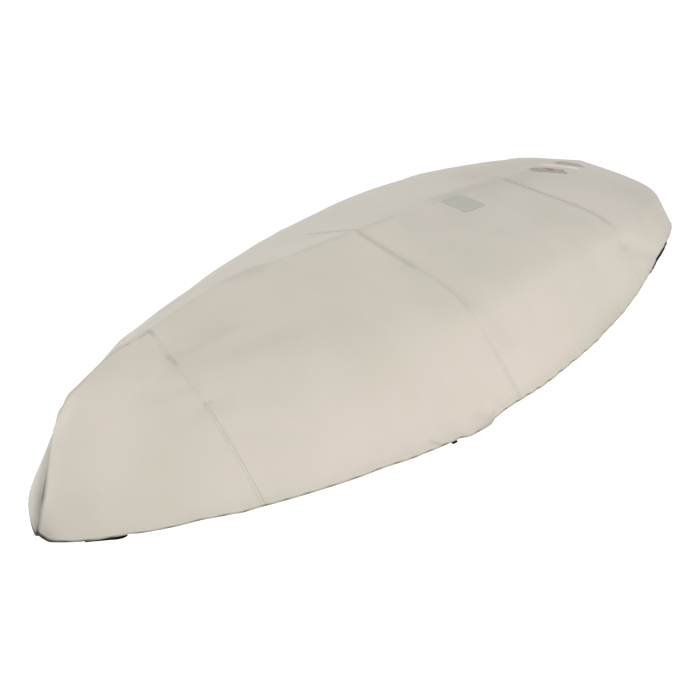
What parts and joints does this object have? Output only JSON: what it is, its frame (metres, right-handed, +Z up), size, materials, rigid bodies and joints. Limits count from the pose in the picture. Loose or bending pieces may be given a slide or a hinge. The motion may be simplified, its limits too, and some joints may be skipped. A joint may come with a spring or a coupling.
{
  "type": "boat cover",
  "caption": "Fitted fabric cover for a small open motor boat: a hollow ivory dome with cross seams, a ridge and an elastic hem.",
  "frame": {"origin": "under the ridge at the middle cross seam, 2 mm below the cloth, where the boat's ridge support carries it", "axes": "+X towards the stern, +Y to starboard, +Z up"},
  "size_m": [4.7057, 2.0456, 0.7588],
  "materials": {
    "cloth": "woven polyester, water-repellent coating, matte",
    "patch": "woven polyester reinforcement, matte",
    "webbing": "black polypropylene webbing"
  },
  "bodies": {
    "root": {"bow_panel_port": "cloth", "bow_panel_starboard": "cloth", "fore_panel": "cloth", "mid_panel": "cloth", "stern_panel": "cloth", "pole_patch": "patch", "bow_loop_port": "webbing", "bow_loop_starboard": "webbing", "side_tab_port": "webbing", "side_tab_starboard": "webbing", "stern_strap_port": "webbing", "stern_strap_starboard": "webbing"}
  },
  "joints": []
}
